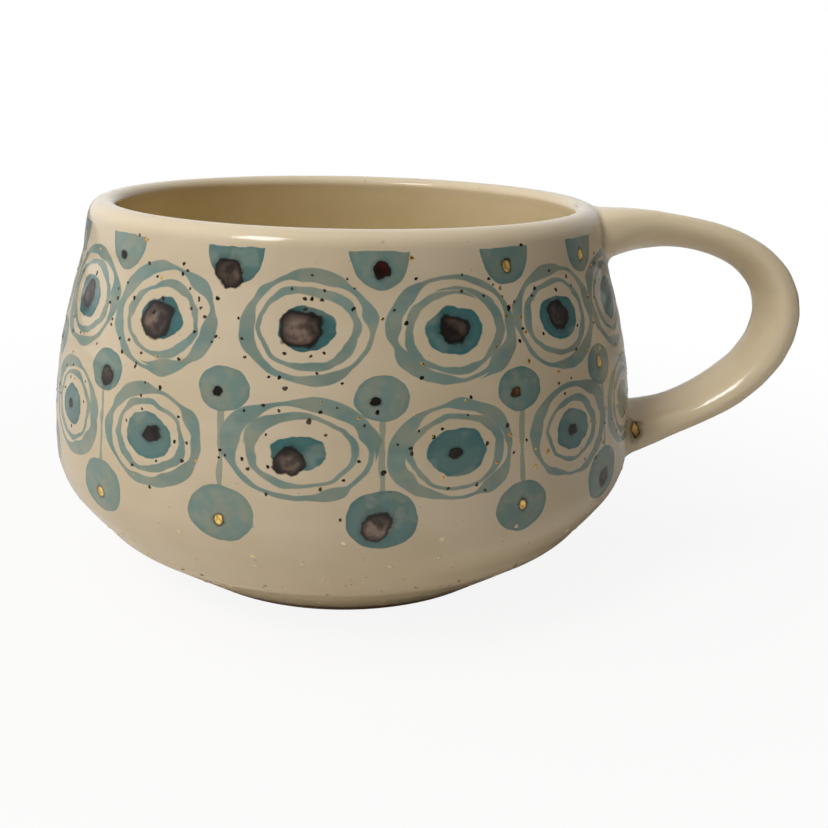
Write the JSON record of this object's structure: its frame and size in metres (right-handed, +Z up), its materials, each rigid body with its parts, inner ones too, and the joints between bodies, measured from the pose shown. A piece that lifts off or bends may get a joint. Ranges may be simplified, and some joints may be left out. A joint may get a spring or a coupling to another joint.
{
  "type": "mug",
  "caption": "Wide-bellied round mug with a flat foot, a bevel under the belly, a rounded lip and a looped strap handle.",
  "frame": {"origin": "on the bowl's axis, in the flat face of the foot that the mug rests on", "axes": "+Z up along the bowl's axis, +X from the axis towards the handle, +Y completes the right-handed frame"},
  "size_m": [0.1483, 0.116, 0.0734],
  "materials": {
    "stoneware": "bare fired clay, matt",
    "cream_glaze": "glossy warm cream glaze over hand-painted blue-green rings and discs",
    "liner_glaze": "glossy plain cream glaze"
  },
  "bodies": {
    "root": {"bowl": "stoneware", "handle": "stoneware", "upper_slip_joint": "stoneware", "lower_slip_joint": "stoneware", "outer_glaze": "cream_glaze", "liner_glaze": "liner_glaze", "handle_glaze": "cream_glaze"}
  },
  "joints": []
}
